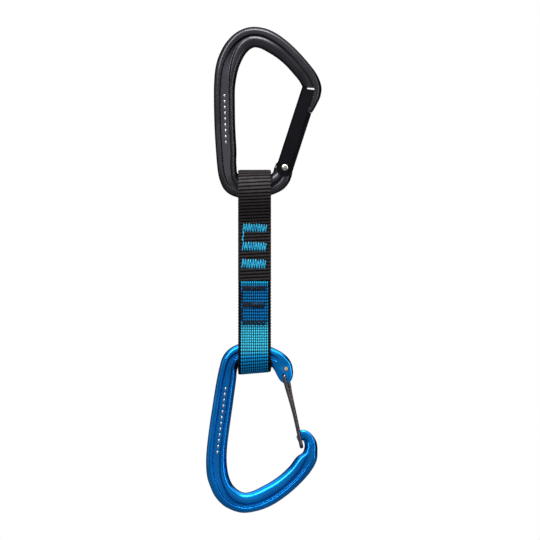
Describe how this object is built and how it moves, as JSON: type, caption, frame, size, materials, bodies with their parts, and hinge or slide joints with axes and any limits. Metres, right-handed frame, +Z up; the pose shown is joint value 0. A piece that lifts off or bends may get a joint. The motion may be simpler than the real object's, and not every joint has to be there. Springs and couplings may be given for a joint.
{
  "type": "climbing quickdraw",
  "caption": "Climbing quickdraw: solid-gate carabiner for a bolt hanger and wire-gate carabiner for a rope, joined by a sewn webbing sling.",
  "frame": {"origin": "inside of the crown of the bolt-end carabiner, on its middle plane, where a bolt hanger bears", "axes": "+Z up as the quickdraw hangs, +X towards the gates, the carabiners lie in the XZ plane and Y is their thickness"},
  "size_m": [0.0635, 0.0198, 0.2671],
  "materials": {
    "anodised_dark": "satin",
    "gate_black": "satin",
    "steel": "polished",
    "plunger_brass": "satin",
    "anodised_blue": "gloss",
    "wire_steel": "satin",
    "webbing": "matte",
    "webbing_blue": "matte",
    "thread_blue": "matte",
    "thread_dark": "matte",
    "keeper_rubber": "matte"
  },
  "bodies": {
    "bolt_carabiner": {"bolt_carabiner_body": "anodised_dark"},
    "bolt_gate": {"bolt_gate": "gate_black", "bolt_gate_rivet": "steel", "bolt_gate_spring": "steel"},
    "plunger": {"bolt_gate_plunger": "plunger_brass"},
    "sling_top": {"webbing_upper_loop": "webbing"},
    "sling_middle": {"webbing_sewn_centre": "webbing", "upper_bartacks": "thread_blue", "upper_stitch_line": "thread_blue", "lower_bartacks": "thread_dark", "lower_stitch_line": "thread_dark"},
    "sling_bottom": {"webbing_lower_loop": "webbing_blue", "rope_end_keeper": "keeper_rubber"},
    "rope_carabiner": {"rope_carabiner_body": "anodised_blue"},
    "rope_gate": {"rope_wire_gate": "wire_steel"}
  },
  "joints": [
    {"name": "bolt_gate_hinge", "type": "hinge", "parent": "bolt_carabiner", "child": "bolt_gate", "pos_m": [0.01628, 0, -0.06611], "axis": [0, -1, 0], "range_deg": [0, 28], "stiffness_Nm_per_rad": 0.3, "springref_deg": -28.65},
    {"name": "plunger_slide", "type": "slide", "parent": "bolt_gate", "child": "plunger", "axis": [0.309, 0, 0.9511], "range_m": [0, 0.00089], "deforming": ["bolt_gate_spring"]},
    {"name": "sling_top_swing", "type": "hinge", "parent": "bolt_carabiner", "child": "sling_top", "pos_m": [-0.00038, 0, -0.0763], "axis": [1, 0, 0], "range_deg": [-40, 40]},
    {"name": "sling_upper_flex", "type": "hinge", "parent": "sling_top", "child": "sling_middle", "pos_m": [-0.00038, 0, -0.0935], "axis": [1, 0, 0], "range_deg": [-45, 45], "stiffness_Nm_per_rad": 0.02},
    {"name": "sling_lower_flex", "type": "hinge", "parent": "sling_middle", "child": "sling_bottom", "pos_m": [-0.00038, 0, -0.157], "axis": [1, 0, 0], "range_deg": [-45, 45], "stiffness_Nm_per_rad": 0.02},
    {"name": "rope_carabiner_rock", "type": "hinge", "parent": "sling_bottom", "child": "rope_carabiner", "pos_m": [-0.00038, 0, -0.1695], "axis": [1, 0, 0], "range_deg": [-10, 10], "stiffness_Nm_per_rad": 0.05},
    {"name": "wire_gate_hinge", "type": "hinge", "parent": "rope_carabiner", "child": "rope_gate", "pos_m": [0.01641, 0, -0.17853], "axis": [0, 1, 0], "range_deg": [0, 26], "stiffness_Nm_per_rad": 0.2, "springref_deg": -28.65}
  ],
  "couplings": [
    {"joint": "plunger_slide", "follows": "bolt_gate_hinge", "m_per_rad": 0.001782}
  ]
}
